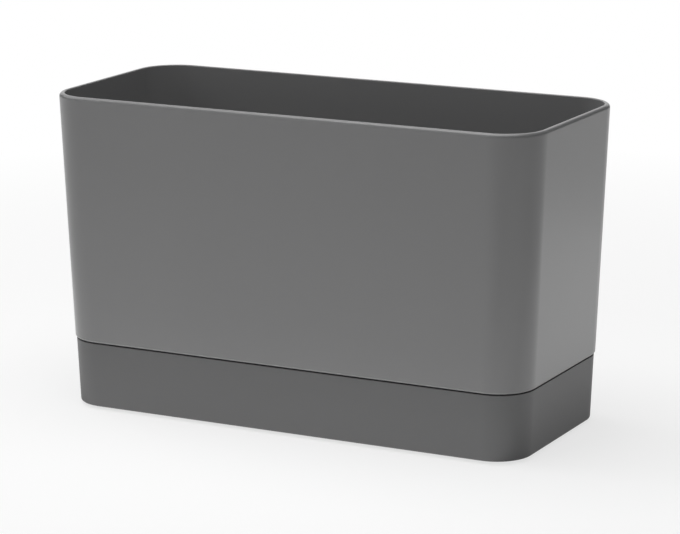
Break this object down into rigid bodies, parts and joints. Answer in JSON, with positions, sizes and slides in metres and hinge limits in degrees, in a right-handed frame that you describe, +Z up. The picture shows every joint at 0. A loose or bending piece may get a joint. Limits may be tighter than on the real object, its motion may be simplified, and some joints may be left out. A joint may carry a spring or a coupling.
{
  "type": "kitchen sink caddy",
  "caption": "Open tapered bin with rounded corners and a slotted drain floor, standing in a separate drip tray on soft feet, to hold brushes and sponges beside a kitchen sink.",
  "frame": {"origin": "on the surface that the feet stand on, below the middle of the caddy", "axes": "+X along the caddy's length, +Y from its front to its rear, +Z up out of the open top"},
  "size_m": [0.1998, 0.0864, 0.1212],
  "materials": {
    "holder_plastic": "satin moulded grey plastic",
    "tray_plastic": "fine matte moulded dark grey plastic",
    "foot_rubber": "soft matte rubber"
  },
  "bodies": {
    "base": {"drip_tray": "tray_plastic", "foot_front_left": "foot_rubber", "foot_front_right": "foot_rubber", "foot_rear_left": "foot_rubber", "foot_rear_right": "foot_rubber"},
    "bin": {"holder": "holder_plastic"}
  },
  "joints": [
    {"name": "holder_lift", "type": "slide", "parent": "base", "child": "bin", "axis": [0, 0, 1], "range_m": [0, 0.06]}
  ]
}
